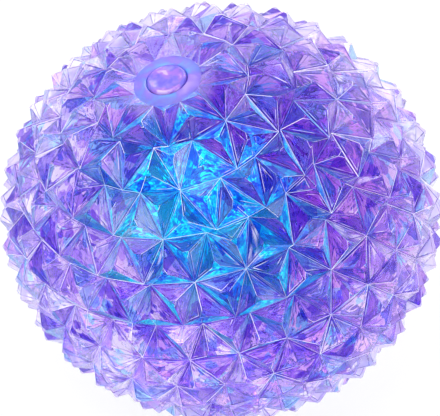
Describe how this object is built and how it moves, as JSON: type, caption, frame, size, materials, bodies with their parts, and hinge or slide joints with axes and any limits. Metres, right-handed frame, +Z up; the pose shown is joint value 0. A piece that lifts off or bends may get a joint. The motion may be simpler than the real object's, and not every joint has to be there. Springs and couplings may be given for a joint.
{
  "type": "spiky squeeze ball",
  "caption": "Soft clear ball covered with three-sided spikes, gel filled and closed by a plug that carries a sealed flasher capsule; it squashes in the hand and lights up when shaken.",
  "frame": {"origin": "middle of the flat patch under the ball, on the surface that it rests on", "axes": "+Z up, through the middle of the resting ball; -Y towards the viewer, with the plug leaning from the top towards -X"},
  "size_m": [0.0998, 0.0998, 0.0865],
  "materials": {
    "clear_skin": "clear violet thermoplastic rubber, glossy, sharp facets",
    "blue_gel": "clear blue gel",
    "plug_rubber": "smooth clear violet rubber",
    "frosted_capsule": "frosted translucent moulding",
    "board_green": "green solder mask",
    "chip_resin": "black resin over the chip",
    "lamp_red": "clear tinted epoxy",
    "lamp_green": "clear tinted epoxy",
    "lamp_blue": "clear tinted epoxy",
    "cell_steel": "nickel plated steel can",
    "contact_brass": "spring brass strip and wire",
    "spring_steel": "bright spring wire"
  },
  "bodies": {
    "ball": {"spiky_skin": "clear_skin", "gel_filling": "blue_gel", "filler_plug": "plug_rubber"},
    "flasher": {"capsule_lower": "frosted_capsule", "capsule_upper": "frosted_capsule", "circuit_board": "board_green", "controller_chip": "chip_resin", "led_red": "lamp_red", "led_green": "lamp_green", "led_blue": "lamp_blue", "battery_cell_1": "cell_steel", "battery_cell_2": "cell_steel", "battery_cell_3": "cell_steel", "battery_clip_upper": "contact_brass", "battery_clip_lower": "contact_brass", "shake_pin": "contact_brass"},
    "switch_coil": {"shake_spring": "spring_steel"}
  },
  "joints": [
    {"name": "squeeze", "type": "slide", "parent": "ball", "child": "flasher", "axis": [0, 0, 1], "range_m": [-0.0171, 0], "stiffness_N_per_m": 1200, "deforming": ["spiky_skin", "gel_filling", "filler_plug"]},
    {"name": "shake", "type": "hinge", "parent": "flasher", "child": "switch_coil", "pos_m": [0.00132, -0.00092, 0.04613], "axis": [-0.0086, 0.9978, 0.066], "range_deg": [-7, 7], "stiffness_Nm_per_rad": 0.0001}
  ]
}
